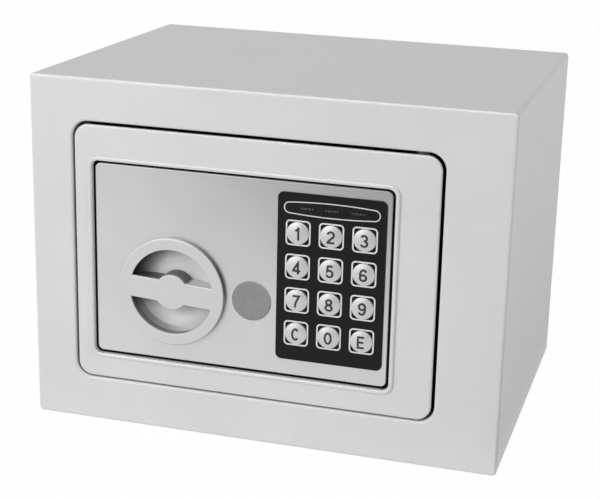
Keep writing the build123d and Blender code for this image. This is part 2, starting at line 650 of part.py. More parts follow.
# ---------------------------------------------------------------- rear cover and electrics
def rear_cover():
    shell = plate(rounded(COVER, 3), BASE_D, COVER_DEPTH)
    shell = fillet(edges_at_depth(shell, COVER_DEPTH), 2)
    inner = inset(COVER, COVER_T)
    shell -= plate(plain(inner), BASE_D, COVER_DEPTH - COVER_T)
    for x, z in SCREWS:
        shell += plate(disc((x, z), 3.4), BACK_D, COVER_DEPTH - 0.5)
    for x, z in SCREWS:
        shell -= plate(disc((x, z), 1.6), BACK_D - 1, COVER_DEPTH + 1)
        shell -= plate(disc((x, z), 2.9), COVER_DEPTH - 2.2, COVER_DEPTH + 1)
    for z in BOLT_Z:
        shell -= rod_x(COVER[0] - 1, COVER[0] + COVER_T + 0.01, BOLT_D, z, BOLT_R + 0.4)
    shell -= plate(plain(BAY), COVER_DEPTH - 3, COVER_DEPTH + 1)
    shell += plate(ring(disc(RESET, 5.6), disc(RESET, 3.3)), COVER_DEPTH - COVER_T, COVER_DEPTH + 0.6)
    shell -= plate(disc(RESET, 3.3), COVER_DEPTH - 4, COVER_DEPTH + 2)
    for x in (10.0, 48.0):
        for z in (40.5, 56.0):
            shell += block(x - 1.5, x + 1.5, PCB_BACK, COVER_DEPTH - 1, z - 1.5, z + 1.5)
    return shell


def cover_screws():
    screws = []
    for spot in SCREWS:
        seat = COVER_DEPTH - 2.2
        tip = BASE_D - 1.2
        head = seat + SCREW_HEAD_T
        shape = profile((0, tip), (SCREW_R, tip), (SCREW_R, seat),
                        (SCREW_HEAD_R, seat), (SCREW_HEAD_R, head), (0, head))
        screws.append(turned(shape, spot))
    return screws


def fascia_screws():
    screws = []
    for spot in boss_spots():
        head = BASE_D + 1.4
        shape = profile((0, 5.5), (1.2, 5.5), (1.2, BASE_D), (2.6, BASE_D), (2.6, head), (0, head))
        screws.append(turned(shape, spot))
    return screws


def control_pcb():
    return block(6.5, 50.5, PCB_BACK - 1.6, PCB_BACK, 38.5, 58.5)


def reset_switch():
    x, z = RESET
    body = block(x - 3, x + 3, PCB_BACK, 25.1, z - 3, z + 3)
    return body + plate(disc(RESET, 1.7), 25, 26.1)


def reset_button():
    """Button on the inside of the door that starts a code change."""
    shape = profile((0, 28.0), (1.6, 28.0), (1.6, 34.8), (4.6, 34.8), (4.6, 36.1), (3.0, 36.1), (3.0, 40.2),
                    (2.5, 40.7), (0, 40.7))
    return turned(shape, RESET)


def battery_bay():
    outer = inset(BAY, -BAY_T)
    depth = COVER_DEPTH - COVER_T
    bay = plate(plain((outer[0], min(outer[1], COVER[1] - COVER_T), outer[2], outer[3])), BAY_D0, depth)
    bay -= plate(plain(BAY), BAY_D0 + BAY_T, depth)
    for row in range(1, CELL_COUNT):
        z = CELL_Z0 + (row - 0.5) * CELL_PITCH
        bay += block(BAY[0], BAY[1], BAY_D0 + BAY_T / 2, BAY_D0 + 4, z - 0.5, z + 0.5)
    for row in range(CELL_COUNT):
        z = CELL_Z0 + row * CELL_PITCH
        bay -= rod_x(BAY[0] + CONTACT_T, BAY[1] - CONTACT_T, CELL_D, z, CELL_R + 0.05)
    return bay


def battery_cells():
    cells = []
    for row in range(CELL_COUNT):
        z = CELL_Z0 + row * CELL_PITCH
        x0 = CELL_X0 + (NUB_L if row % 2 else 0)
        cell = rod_x(x0, x0 + CELL_L, CELL_D, z, CELL_R)
        nub = (x0 - NUB_L, x0) if row % 2 else (x0 + CELL_L, x0 + CELL_L + NUB_L)
        cells.append(cell + rod_x(nub[0], nub[1], CELL_D, z, 2.7))
    return cells


def battery_contacts():
    clips = []
    for row in range(CELL_COUNT):
        z = CELL_Z0 + row * CELL_PITCH
        for x0, x1 in ((BAY[0], BAY[0] + CONTACT_T), (BAY[1] - CONTACT_T, BAY[1])):
            clips.append(block(x0, x1, CELL_D - 5, CELL_D + 5, z - 5, z + 5))
    return clips


def battery_lid():
    lid = plate(rounded(inset(BAY, 0.3), 1), COVER_DEPTH - COVER_T, COVER_DEPTH + 0.4)
    x0, x1, z0, z1 = BAY
    mid = (x0 + x1) / 2
    for step in range(5):
        z = z0 + 5 + 2.4 * step
        lid += block(mid - 9, mid + 9, COVER_DEPTH + 0.2, COVER_DEPTH + 0.9, z - 0.5, z + 0.5)
    for x in (mid - 14, mid + 14):
        lid += block(x - 3, x + 3, COVER_DEPTH - 3.2, COVER_DEPTH - COVER_T + 0.2, z1 - 1.7, z1 - 0.4)
    return lid


# ---------------------------------------------------------------- write every node
def main():
    save("front_frame", front_frame())
    save("cabinet_shell", cabinet_shell())
    save("rear_panel", rear_panel())
    save("floor_mat", floor_mat())
    save("hinge_brackets", *hinge_brackets())
    save("hinge_pins", *hinge_pins())
    lower, upper = DOOR[2] + DOOR_STEP, DOOR[3] - DOOR_STEP
    save("hinge_washer_lower", hinge_washer(OPENING[2], lower - OPENING[2] - RUN_FIT))
    save("hinge_washer_upper", hinge_washer(upper + RUN_FIT, OPENING[3] - upper - 2 * RUN_FIT))
    save("door_plate", door_plate())
    save("hinge_blocks", *hinge_blocks())
    save("door_seal", *door_seal())
    save("fascia_gasket", fascia_gasket())
    save("fascia_panel", fascia_panel())
    save("keypad_overlay", keypad_overlay())
    save("indicator_lens", indicator_lens())
    save("indicator_leds", *indicator_leds())
    save("keypad_pcb", keypad_pcb())
    save("tact_switches", *tact_switches())
    for row, z in zip(KEY_NAMES, KEY_Z):
        for name, x in zip(row, KEY_X):
            save(f"key_{name}", key((x, z)))
    save("key_cover", key_cover())
    save("knob", knob())
    save("knob_spindle", knob_spindle())
    save("spindle_bush", spindle_bush())
    save("drive_crank", drive_crank())
    save("lock_base_plate", lock_base_plate())
    save("bolt_carriage", bolt_carriage())
    save("guide_studs", *guide_studs())
    save("locking_bolts", *locking_bolts())
    save("lock_barrel", lock_barrel())
    save("lock_nut", lock_nut())
    save("lock_plug", lock_plug())
    save("override_cam", override_cam())
    save("lift_arm", lift_arm())
    save("solenoid_plunger", solenoid_plunger())
    save("plunger_spring", plunger_spring())
    save("solenoid_frame", solenoid_frame())
    save("solenoid_coil", solenoid_coil())
    save("rear_cover", rear_cover())
    save("cover_screws", *cover_screws())
    save("fascia_screws", *fascia_screws())
    save("control_pcb", control_pcb())
    save("reset_switch", reset_switch())
    save("reset_button", reset_button())
    save("battery_bay", battery_bay())
    save("battery_cells", *battery_cells())
    save("battery_contacts", *battery_contacts())
    save("battery_lid", battery_lid())


main()
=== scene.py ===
"""Looks of a small electronic safe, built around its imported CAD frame."""
import json
import math

import bmesh
import bpy
from mathutils import Matrix, Vector

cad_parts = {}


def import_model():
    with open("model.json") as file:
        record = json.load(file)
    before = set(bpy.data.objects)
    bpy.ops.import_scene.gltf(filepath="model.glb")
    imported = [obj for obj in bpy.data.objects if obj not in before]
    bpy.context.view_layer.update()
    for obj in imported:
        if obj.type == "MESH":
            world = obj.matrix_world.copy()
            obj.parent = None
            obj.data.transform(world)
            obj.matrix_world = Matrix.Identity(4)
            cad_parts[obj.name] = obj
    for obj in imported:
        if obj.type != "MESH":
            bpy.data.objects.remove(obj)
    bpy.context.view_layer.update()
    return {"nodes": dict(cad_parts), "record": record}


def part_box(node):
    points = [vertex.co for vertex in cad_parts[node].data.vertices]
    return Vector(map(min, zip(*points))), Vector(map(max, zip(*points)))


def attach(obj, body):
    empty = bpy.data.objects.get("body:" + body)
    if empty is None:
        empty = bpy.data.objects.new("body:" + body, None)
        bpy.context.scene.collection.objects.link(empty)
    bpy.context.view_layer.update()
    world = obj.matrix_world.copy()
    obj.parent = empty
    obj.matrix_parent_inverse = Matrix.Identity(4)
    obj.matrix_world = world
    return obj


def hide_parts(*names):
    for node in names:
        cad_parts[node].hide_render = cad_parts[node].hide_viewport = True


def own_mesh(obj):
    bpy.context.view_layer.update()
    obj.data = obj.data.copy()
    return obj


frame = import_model()
NODES = frame["nodes"]
MM = 0.001
FRONT_Y = -85.0          # plane of the cabinet's and the door's front, in millimetres

# ---------------------------------------------------------------- sizes, in millimetres
PRINT_T = 0.08           # thickness of a printed line
LEGEND_SINK = 0.01       # how deep the back of a print lies under the surface
MARK_SINK = 0.02
KEY_FRAME_W = 11.85      # printed outline round each key
KEY_FRAME_H = 12.1
KEY_FRAME_R = 2.0
KEY_FRAME_LINE = 0.72
WINDOW_LINE = 0.5
WINDOW_MARGIN = 0.35
WINDOW_BOW = 0.8         # bulge of the outline's long edges
WINDOW_END_FLAT = 0.1    # straight part of the outline's short edges
DIM_MARKS = (0.24, 0.5, 0.77)   # share of the window's width at which each dim mark stands
DIM_DASH_WIDTHS = (0.8, 1.9, 1.4, 0.8)
DIM_DASH_H = 0.9
DIM_DASH_GAP = 0.45
DIGIT_H = 6.1
DIGIT_DROP = 0.15        # the digits sit this much below the middle of their key
DIGIT_STROKE = 0.165     # line width of a digit, as a share of its height
DIGIT_BOX = 0.64         # width of a digit, as a share of its height
DIGIT_STEP = 0.12        # longest step along a stroke, as a share of its height
DOME_SAG = 0.22          # drop of a key's dome at DOME_SAG_R from its middle
DOME_SAG_R = 2.86
SLOT_LIP_D = (1.5, 2.8)  # depth of the black foam lip between the fascia and the door's bead, which stands in for the slot's shade
SLOT_OUTER_R = 3.4
SLOT_INNER_R = 2.8
SLOT_PLAY = 0.02         # gap between the lip and its neighbours
SCREW_HEAD_D = 37.3      # depth of the rear cover's screw heads, whose x and z follow
SCREW_SPOTS = ((-58.0, 123.5), (38.0, 125.8), (-14.0, 43.0), (55.0, 53.0))
CROSS_LONG = 3.4         # flat dark cross on a screw head, painted as the shade of its cross recess
CROSS_WIDE = 0.75
CROSS_T = 0.06
SPRING_WIRE_R = 0.4      # return spring of the plunger
SPRING_TURNS = 3
SPRING_TURN_STEPS = 28
SPRING_SIDES = 8         # edges round the wire

# knob's lacquer and its painted shade, measured from the middle of the knob's face; a fade is where
# a tone's change starts and ends
SHADE_LIGHT_FROM = (-0.62, -0.74, 0.40)    # direction of the light whose shade is painted on the walls
WALL_SHADE_FADE = (-0.35, 0.55)           # from a wall turned away from that light, painted dark as shade, to one that faces it
UPRIGHT_FADE = (0.25, 0.6)           # from a side wall to a face that looks forward
DISH_R = 20.7                        # radius of the finger hollows
RIM_FADE = (DISH_R + 0.1, DISH_R + 0.3)
DEPTH_FADE = (0.4, 2.0)
UNSHADED_SPOT = (14, 0, -1)            # middle of the area that the painted shadow behind the rim leaves light
RIM_SHADOW_FADE = (DISH_R + 4, DISH_R + 15)
LOW_FADE = (-12, -5)                 # height below which the painted shadow at the far end is less dark
BOSS_FADE = (7, 9)                   # right end of the painted shade on the boss's side
FOOT_FADE = (DISH_R - 2.4, DISH_R - 1.6)
FOOT_SIDE = (-0.8, 0, -0.6)          # side on which the foot of the wall is painted dark as shade
FOOT_SIDE_FADE = (6, 15)
UPPER_FADE = (-4, 4)                 # from the lower hollow to the upper

# other finishes
NOISE_FADE = (0.3, 0.7)              # the part of a noise's range that a finish uses
WAVE_UNIT = 2 * math.pi / 20         # period of the wave texture at a scale of 1
COIL_PITCH = 0.35                    # one turn of the solenoid's winding
CELL_BAND_AT = 0.72                  # start of a cell's copper band, as a share of its length
CELL_BAND_BLUR = 0.2

# camera, fitted to the outlines in the picture
CAMERA_AT = (200.9, -690.5, 295.0)
CAMERA_AZIMUTH = 15.27
CAMERA_ELEVATION = 16.45
CAMERA_ROLL = -1.73
LENS = 87.0
SHIFT = (-0.060, -0.032)

# studio, in metres
AMBIENT = 0.39
FLOOR_SIZE = 12
FLOOR_Z = -0.0002
FLOOR_GLOW = 0.985                   # share of plain white in the floor that the camera sees
FLAG_H = 0.55
DARK_FLAG = ((-0.17, -0.46), (0.28, -0.32))     # ends of two cards that the glossy front mirrors
GREY_FLAG = ((-0.48, -0.46), (-0.17, -0.46))
FLOOR_FLAG = ((0.125, -0.18), (0.25, 0.12))     # corners of a card that dims the bounced light
FLOOR_FLAG_Z = 0.001
STRIP_ENDS = ((-0.85, 1.05), (-0.2, 1.3))       # y and z of the strip light's long edges
STRIP_W = 2.4
STRIP_GLOW = 6.0
LAMP_AIM = (0, 0, 0.09)
KEY_LAMP = ((-0.9, -1.5, 0.72), (1.1, 1.1), 19)     # place, size and watts
FILL_LAMP = ((1.6, -1.0, 0.7), (1.0, 1.4), 6.9)


# ---------------------------------------------------------------- node helpers
def grey(value, warm=0.0):
    """Linear colour of an sRGB grey from 0 to 255; warm tips it towards red."""
    level = ((value / 255 + 0.055) / 1.055) ** 2.4 if value > 10 else value / 255 / 12.92
    return (level * (1 + warm), level, level * (1 - warm), 1.0)


def scaled(colour, factor):
    return tuple(c * factor for c in colour[:3]) + (1.0,)


class Finish:
    """A Principled material with procedural detail in object space."""

    def __init__(self, name, colour, roughness, metallic=0.0, **inputs):
        self.mat = bpy.data.materials.new(name)
        self.mat.use_nodes = True
        self.tree = self.mat.node_tree
        self.shader = self.tree.nodes["Principled BSDF"]
        self.colour = colour
        self.set("Base Color", colour)
        self.set("Roughness", roughness)
        self.set("Metallic", metallic)
        for key, value in inputs.items():
            self.set(key.replace("_", " "), value)
        place = self.add("ShaderNodeTexCoord")
        self.coords = place.outputs["Object"]
        self.normal = place.outputs["Normal"]

    def set(self, socket, value):
        self.shader.inputs[socket].default_value = value

    def add(self, kind, **values):
        made = self.tree.nodes.new(kind)
        for key, value in values.items():
            if hasattr(made, key):
                setattr(made, key, value)
            else:
                made.inputs[key].default_value = value
        return made

    def link(self, output, socket):
        self.tree.links.new(output, socket)

    def noise(self, size, detail=3.0, stretch=(1, 1, 1)):
        """Noise whose blobs are about size millimetres across."""
        mapping = self.add("ShaderNodeMapping")
        mapping.inputs["Scale"].default_value = stretch
        self.link(self.coords, mapping.inputs["Vector"])
        field = self.add("ShaderNodeTexNoise", Detail=detail, Roughness=0.55)
        field.inputs["Scale"].default_value = 1 / (size * MM)
        self.link(mapping.outputs["Vector"], field.inputs["Vector"])
        return field.outputs["Fac"]

    def vector(self, operation, source, value):
        """Vector operation between an output and a fixed vector."""
        node = self.add("ShaderNodeVectorMath", operation=operation)
        self.link(source, node.inputs[0])
        node.inputs[1].default_value = value
        return node

    def dot(self, source, axis):
        return self.vector("DOT_PRODUCT", source, axis).outputs["Value"]

    def flat_length(self, source):
        """Length of a vector in the front view."""
        node = self.add("ShaderNodeVectorMath", operation="LENGTH")
        self.link(self.vector("MULTIPLY", source, (1, 0, 1)).outputs[0], node.inputs[0])
        return node.outputs["Value"]

    def math(self, operation, first, second):
        node = self.add("ShaderNodeMath", operation=operation)
        self.link(first, node.inputs[0])
        self.link(second, node.inputs[1])
        return node.outputs[0]

    def product(self, first, second):
        return self.math("MULTIPLY", first, second)

    def larger(self, first, second):
        return self.math("MAXIMUM", first, second)

    def remap(self, source, low, high, start=NOISE_FADE[0], end=NOISE_FADE[1]):
        """Goes from low to high where source goes from start to end."""
        node = self.add("ShaderNodeMapRange")
        self.link(source, node.inputs["Value"])
        node.inputs["From Min"].default_value = start
        node.inputs["From Max"].default_value = end
        node.inputs["To Min"].default_value = low
        node.inputs["To Max"].default_value = high
        return node.outputs["Result"]

    def fade(self, source, low, high, band):
        """Goes from low to high where a length passes through a band in millimetres."""
        start, end = band
        return self.remap(source, low, high, start * MM, end * MM)

    def mix(self, factor, first, second):
        """Colour between first and second; each is a colour or an output."""
        node = self.add("ShaderNodeMix", data_type="RGBA")
        self.link(factor, node.inputs[0])
        for value, socket in ((first, node.inputs[6]), (second, node.inputs[7])):
            if isinstance(value, tuple):
                socket.default_value = value
            else:
                self.link(value, socket)
        return node.outputs[2]

    def tint(self, source, spread):
        """Base colour that drifts by +-spread with source."""
        factor = self.remap(source, 0, 1)
        mixed = self.mix(factor, scaled(self.colour, 1 - spread), scaled(self.colour, 1 + spread))
        self.link(mixed, self.shader.inputs["Base Color"])
        return mixed

    def rough(self, source, low, high):
        self.link(self.remap(source, low, high), self.shader.inputs["Roughness"])

    def bump(self, *layers):
        """Bump from (source, height in mm) layers, stacked."""
        normal = None
        for source, height in layers:
            node = self.add("ShaderNodeBump")
            node.inputs["Strength"].default_value = 1.0
            node.inputs["Distance"].default_value = height * MM
            self.link(source, node.inputs["Height"])
            if normal is not None:
                self.link(normal, node.inputs["Normal"])
            normal = node.outputs["Normal"]
        self.link(normal, self.shader.inputs["Normal"])


# ---------------------------------------------------------------- finishes
def powder_coat():
    """Fine textured light grey powder coat."""
    made = Finish("powder_coat", grey(209), 0.42, Specular_IOR_Level=0.5,
                  Coat_Weight=0.15, Coat_Roughness=0.15)
    grain = made.noise(0.55, detail=2)
    pebble = made.noise(1.6, detail=2)
    made.tint(made.noise(45, detail=2), 0.018)
    made.rough(pebble, 0.34, 0.52)
    made.bump((pebble, 0.055), (grain, 0.045))
    return made.mat


def silver_lacquer(name, level, roughness, metallic):
    """Satin silver lacquer on a moulding, with fine metal flake."""
    made = Finish(name, grey(level), roughness, metallic, Specular_IOR_Level=0.5)
    flake = made.noise(0.18, detail=2)
    drift = made.noise(25, detail=2)
    made.tint(drift, 0.02)
    made.rough(flake, roughness - 0.06, roughness + 0.08)
    made.bump((flake, 0.006))
    return made.mat


def knob_lacquer_painted_shade():
    """Silver lacquer with painted shade.

    Walls turned away from a light at the front left and above are painted dark as shade, and so, in the
    hollows, are the boss's left side and the foot of the wall; the floor close behind the rim carries a
    painted shadow, and the lower hollow's floor is painted darker than the upper.
    """
    made = Finish("knob_lacquer_painted_shade", grey(200), 0.45, 0.1, Specular_IOR_Level=0.3)
    flake = made.noise(0.18, detail=2)
    silver = made.tint(made.noise(25, detail=2), 0.02)
    lo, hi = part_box("knob")
    place = made.vector("SUBTRACT", made.coords, ((lo.x + hi.x) / 2, lo.y, (lo.z + hi.z) / 2)).outputs[0]
    across = made.dot(place, (1, 0, 0))
    depth = made.dot(place, (0, 1, 0))
    height = made.dot(place, (0, 0, 1))
    radius = made.flat_length(place)
    in_hollow = made.product(made.fade(radius, 1, 0, RIM_FADE), made.fade(depth, 0, 1, DEPTH_FADE))

    # painted shadow on the hollows' floor behind the rim: dark away from a spot right of the knob's
    # middle, less dark low down
    from_spot = made.vector("SUBTRACT", place, tuple(part * MM for part in UNSHADED_SPOT)).outputs[0]
    rim_shadow = made.fade(made.flat_length(from_spot), 0, 1, RIM_SHADOW_FADE)
    shadow_by_height = made.fade(height, 0.35, 1, LOW_FADE)
    shaded = made.product(made.product(rim_shadow, shadow_by_height), in_hollow)

    # painted shade on walls turned away from the light, on the boss's left side and at the foot of the
    # wall
    turned_from_light = made.remap(made.dot(made.normal, SHADE_LIGHT_FROM), 1, 0, *WALL_SHADE_FADE)
    upright = made.remap(made.dot(made.normal, (0, -1, 0)), 1, 0, *UPRIGHT_FADE)
    boss_shade = made.product(upright, made.fade(across, 0.93, 0, BOSS_FADE))
    foot_shade_side = made.fade(made.dot(place, FOOT_SIDE), 0, 1, FOOT_SIDE_FADE)
    foot_shade = made.product(made.fade(radius, 0, 0.85, FOOT_FADE), foot_shade_side)
    wall_shade = made.larger(turned_from_light, made.product(made.larger(boss_shade, foot_shade), in_hollow))

    # the lower hollow's floor and walls are painted darker than the upper ones, as shade
    upper = made.fade(height, 0, 1, UPPER_FADE)
    floor_shade_tone = made.mix(in_hollow, silver, made.mix(upper, grey(199), grey(219)))
    with_wall_shade = made.mix(wall_shade, floor_shade_tone, made.mix(upper, grey(128), grey(74)))
    # the painted shadow behind the rim goes nearly black
    made.link(made.mix(shaded, with_wall_shade, grey(12)), made.shader.inputs["Base Color"])
    made.rough(flake, 0.38, 0.52)
    made.bump((flake, 0.006))
    return made.mat


def moulded_plastic(name, colour, roughness, grain=0.5, height=0.02, **inputs):
    """Moulded plastic with an even fine grain."""
    made = Finish(name, colour, roughness, **inputs)
    field = made.noise(grain, detail=3)
    made.tint(made.noise(grain * 12, detail=3), 0.06)
    made.rough(field, roughness - 0.08, roughness + 0.08)
    made.bump((field, height))
    return made.mat


def plated_steel(name, colour, roughness, stretch, metallic=1.0):
    """Plated steel with the drawn or rolled grain running along one axis."""
    made = Finish(name, colour, roughness, metallic)
    grain = made.noise(0.35, detail=4, stretch=stretch)
    cloud = made.noise(9, detail=4)
    made.tint(cloud, 0.09)
    made.rough(grain, roughness - 0.09, roughness + 0.12)
    made.bump((grain, 0.006), (cloud, 0.01))
    return made.mat


def needle_felt():
    """Dark needle felt of matted fibres."""
    made = Finish("needle_felt", grey(50), 0.95, Sheen_Weight=0.35, Sheen_Roughness=0.6)
    fibres = made.noise(0.5, detail=5, stretch=(1, 0.25, 1))
    crossed = made.noise(0.6, detail=5, stretch=(0.3, 1, 1))
    clumps = made.noise(5, detail=4)
    made.tint(clumps, 0.25)
    made.bump((clumps, 0.2), (fibres, 0.25), (crossed, 0.2))
    return made.mat


def enamelled_wire():
    """Copper winding of the solenoid, one ring a turn."""
    made = Finish("enamelled_wire", (0.42, 0.12, 0.035, 1), 0.3, 0.6)
    wave = made.add("ShaderNodeTexWave", wave_type="BANDS", bands_direction="Z")
    wave.inputs["Scale"].default_value = WAVE_UNIT / (COIL_PITCH * MM)
    made.link(made.coords, wave.inputs["Vector"])
    made.tint(made.noise(4, detail=3), 0.15)
    made.bump((wave.outputs["Fac"], 0.12))
    return made.mat


def solder_mask():
    """Green board with a faint weave under its mask."""
    made = Finish("solder_mask", (0.02, 0.15, 0.055, 1), 0.32, Coat_Weight=0.4)
    weave = made.noise(0.7, detail=1, stretch=(1, 1, 0.3))
    made.tint(made.noise(6, detail=2), 0.2)
    made.rough(weave, 0.25, 0.42)
    made.bump((weave, 0.02))
    return made.mat


def clear_lamp():
    """Slightly hazy clear plastic of an indicator lamp."""
    made = Finish("clear_lamp", (0.6, 0.6, 0.55, 1), 0.2, Transmission_Weight=0.4)
    haze = made.noise(0.8, detail=2)
    made.rough(haze, 0.15, 0.35)
    made.bump((haze, 0.01))
    return made.mat


def cell_sleeve():
    """Dark sleeve of a battery cell, with a copper-coloured band at one end."""
    made = Finish("cell_sleeve", grey(40), 0.28, Coat_Weight=0.5)
    lo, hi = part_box("battery_cells")
    band_at = (lo.x + (hi.x - lo.x) * CELL_BAND_AT) / MM
    band_edge = (band_at - CELL_BAND_BLUR, band_at + CELL_BAND_BLUR)
    banded = made.fade(made.dot(made.coords, (1, 0, 0)), 0, 1, band_edge)
    body = made.tint(made.noise(12, detail=2), 0.12)
    colour = made.mix(banded, body, (0.42, 0.2, 0.07, 1))
    made.link(colour, made.shader.inputs["Base Color"])
    fine = made.noise(0.6, detail=2)
    made.rough(fine, 0.22, 0.36)
    made.bump((fine, 0.01))
    return made.mat


def printed_line(name, level):
    """Ink line of a printed legend."""
    made = Finish(name, grey(level), 0.5)
    fleck = made.noise(0.4, detail=2)
    made.tint(fleck, 0.05)
    made.rough(fleck, 0.42, 0.6)
    made.bump((fleck, 0.01))
    return made.mat


def finishes():
    """Material slot of the record -> its finish."""
    return {
        "body_paint": powder_coat(),
        "mat_felt": needle_felt(),
        "steel": plated_steel("zinc_plated_steel", grey(196), 0.32, (1, 1, 0.1)),
        "zinc_plate": plated_steel("zinc_plated_sheet", grey(205, 0.01), 0.36, (0.08, 1, 1)),
        "bolt_chrome": plated_steel("polished_bolt", grey(222), 0.14, (1, 0.1, 0.1)),
        "nylon": moulded_plastic("black_nylon", grey(58), 0.45),
        # black foam of the seals; its black also stands in for the shade deep in the door's gaps and round
        # the fascia
        "seal_black": moulded_plastic("black_foam_gap_shade", grey(12), 0.95, 0.6, 0.12, Specular_IOR_Level=0.1),
        "fascia_silver": silver_lacquer("fascia_lacquer", 204, 0.34, 0.86),
        "keypad_black": moulded_plastic("keypad_black", grey(22), 0.5, 0.35, 0.012,
                                        Specular_IOR_Level=0.13),
        "lens_black": moulded_plastic("smoked_lens", grey(22), 0.3, 3, 0.01, Specular_IOR_Level=0.25),
        "led_clear": clear_lamp(),
        "pcb_green": solder_mask(),
        "switch_black": moulded_plastic("switch_black", grey(38), 0.5),
        "cap_grey": moulded_plastic("cap_grey", grey(132), 0.5, 0.4, 0.008),
        "knob_silver": knob_lacquer_painted_shade(),
        "key_silver": silver_lacquer("key_lacquer", 199, 0.42, 0.35),
        "brass": plated_steel("plain_brass", (0.6, 0.42, 0.17, 1), 0.3, (1, 0.1, 1)),
        "copper_coil": enamelled_wire(),
        "cover_black": moulded_plastic("spark_eroded_black", grey(46), 0.62, 0.45, 0.05),
        "button_red": moulded_plastic("button_red", (0.5, 0.02, 0.02, 1), 0.35),
        "battery_wrap": cell_sleeve(),
    }


def dress_nodes(mats):
    """Gives every CAD node its finish."""
    finish_of = {part["node"]: mats[part["material_slot"]] for part in frame["record"]["subparts"]}
    for name, node in NODES.items():
        for socket in node.material_slots:
            socket.link = "OBJECT"
            socket.material = finish_of[name]


# ---------------------------------------------------------------- mesh helpers
def add_piece(name, grid, mat, body):
    """Turns a bmesh into a piece of the model that rides with a body."""
    mesh = bpy.data.meshes.new(name)
    grid.to_mesh(mesh)
    grid.free()
    made = bpy.data.objects.new(name, mesh)
    bpy.context.scene.collection.objects.link(made)
    mesh.materials.append(mat)
    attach(made, body)
    return made


def join_rows(grid, row, after):
    """Faces between two closed rows of as many points."""
    for i in range(len(row)):
        j = (i + 1) % len(row)
        grid.faces.new((row[i], row[j], after[j], after[i]))


def metres(x, y, z):
    return (x * MM, y * MM, z * MM)


def rounded_outline(width, height, radius, bow=0.0, corner_steps=6, edge_steps=16):
    """Points round a rounded rectangle whose long edges bow outwards by bow."""
    points = []
    half_w, half_h = width / 2 - radius, height / 2 - radius
    centres = ((half_w, half_h, 0), (-half_w, half_h, 90), (-half_w, -half_h, 180), (half_w, -half_h, 270))
    for index, (cx, cz, start) in enumerate(centres):
        for step in range(corner_steps + 1):
            angle = math.radians(start + 90 * step / corner_steps)
            points.append((cx + radius * math.cos(angle), cz + radius * math.sin(angle)))
        if bow and index in (0, 2):
            side = 1 if index == 0 else -1
            for step in range(1, edge_steps):
                x = side * half_w * (1 - 2 * step / edge_steps)
                points.append((x, side * (height / 2 + bow * (1 - (x / half_w) ** 2))))
    return points


def printed_ring(name, centre, outer, inner, front_y, mat, thickness=PRINT_T):
    """Thin raised ring between two outlines with as many points, on the plane y = front_y."""
    grid = bmesh.new()
    rows = []
    top_y = front_y - thickness
    for outline, y in ((outer, front_y), (inner, front_y), (inner, top_y), (outer, top_y)):
        rows.append([grid.verts.new(metres(centre[0] + x, y, centre[1] + z)) for x, z in outline])
    for index, row in enumerate(rows):
        join_rows(grid, row, rows[index - 1])
    bmesh.ops.recalc_face_normals(grid, faces=grid.faces)
    return add_piece(name, grid, mat, "door")


def box_outline(node, grow, radius):
    """Rounded outline of a node's front view, grown by grow, with its middle."""
    lo, hi = (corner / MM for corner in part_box(node))
    centre = ((lo.x + hi.x) / 2, (lo.z + hi.z) / 2)
    return rounded_outline(hi.x - lo.x + 2 * grow, hi.z - lo.z + 2 * grow, radius), centre


def slot_shade_lip(mat):
    """Black foam lip of the fascia gasket, filling the slot round the fascia up to just below its face;
    its black stands in for the shade deep in the slot.
    """
    outer, centre = box_outline("fascia_gasket", -SLOT_PLAY, SLOT_OUTER_R)
    inner, middle = box_outline("fascia_panel", SLOT_PLAY, SLOT_INNER_R)
    inner = [(x + middle[0] - centre[0], z + middle[1] - centre[1]) for x, z in inner]
    front, back = SLOT_LIP_D
    printed_ring("slot_shade_lip", centre, outer, inner, FRONT_Y + back, mat, back - front)


def recess_shade_crosses(mat):
    """A flat dark cross on each screw head of the rear cover, painted shade that stands in for the cross
    recess.
    """
    long, wide = CROSS_LONG / 2, CROSS_WIDE / 2
    notch = ((wide, long), (wide, wide), (long, wide))
    outline = []
    for quarter in range(4):
        for x, z in notch:
            for _ in range(quarter):
                x, z = z, -x
            outline.append((x, z))
    for index, (centre_x, centre_z) in enumerate(SCREW_SPOTS):
        grid = bmesh.new()
        rows = []
        for y in (FRONT_Y + SCREW_HEAD_D, FRONT_Y + SCREW_HEAD_D + CROSS_T):
            rows.append([grid.verts.new(metres(centre_x + x, y, centre_z + z)) for x, z in outline])
            grid.faces.new(rows[-1])
        join_rows(grid, *rows)
        bmesh.ops.recalc_face_normals(grid, faces=grid.faces)
        add_piece(f"screw_recess_shade_{index}", grid, mat, "door")


def return_spring(mat):
    """Coiled return spring of the plunger, built at rest in the box of the CAD spring that it replaces."""
    lo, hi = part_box("plunger_spring")
    centre = (lo + hi) / 2
    wire = SPRING_WIRE_R * MM
    coil_r = (hi.x - lo.x) / 2 - wire
    low, high = lo.z + wire, hi.z - wire
    steps = SPRING_TURN_STEPS * SPRING_TURNS
    grid = bmesh.new()
    rings = []
    for step in range(steps + 1):
        angle = 2 * math.pi * SPRING_TURNS * step / steps
        outwards = Vector((math.cos(angle), math.sin(angle), 0))
        middle = Vector((centre.x, centre.y, low + (high - low) * step / steps)) + coil_r * outwards
        section = []
        for side in range(SPRING_SIDES):
            turn = 2 * math.pi * side / SPRING_SIDES
            offset = math.cos(turn) * outwards + Vector((0, 0, math.sin(turn)))
            section.append(grid.verts.new(middle + wire * offset))
        rings.append(section)
    for ring, after in zip(rings, rings[1:]):
        join_rows(grid, ring, after)
    grid.faces.new(rings[0])
    grid.faces.new(rings[-1])
    bmesh.ops.recalc_face_normals(grid, faces=grid.faces)
    for face in grid.faces:
        face.smooth = len(face.verts) == 4
    made = add_piece("plunger_spring_coil", grid, mat, "door")
    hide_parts("plunger_spring")
    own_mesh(made)


def dome_drop(radius):
    """How far a key's dome lies behind its crown at that radius, in millimetres."""
    return DOME_SAG * (radius / DOME_SAG_R) ** 2


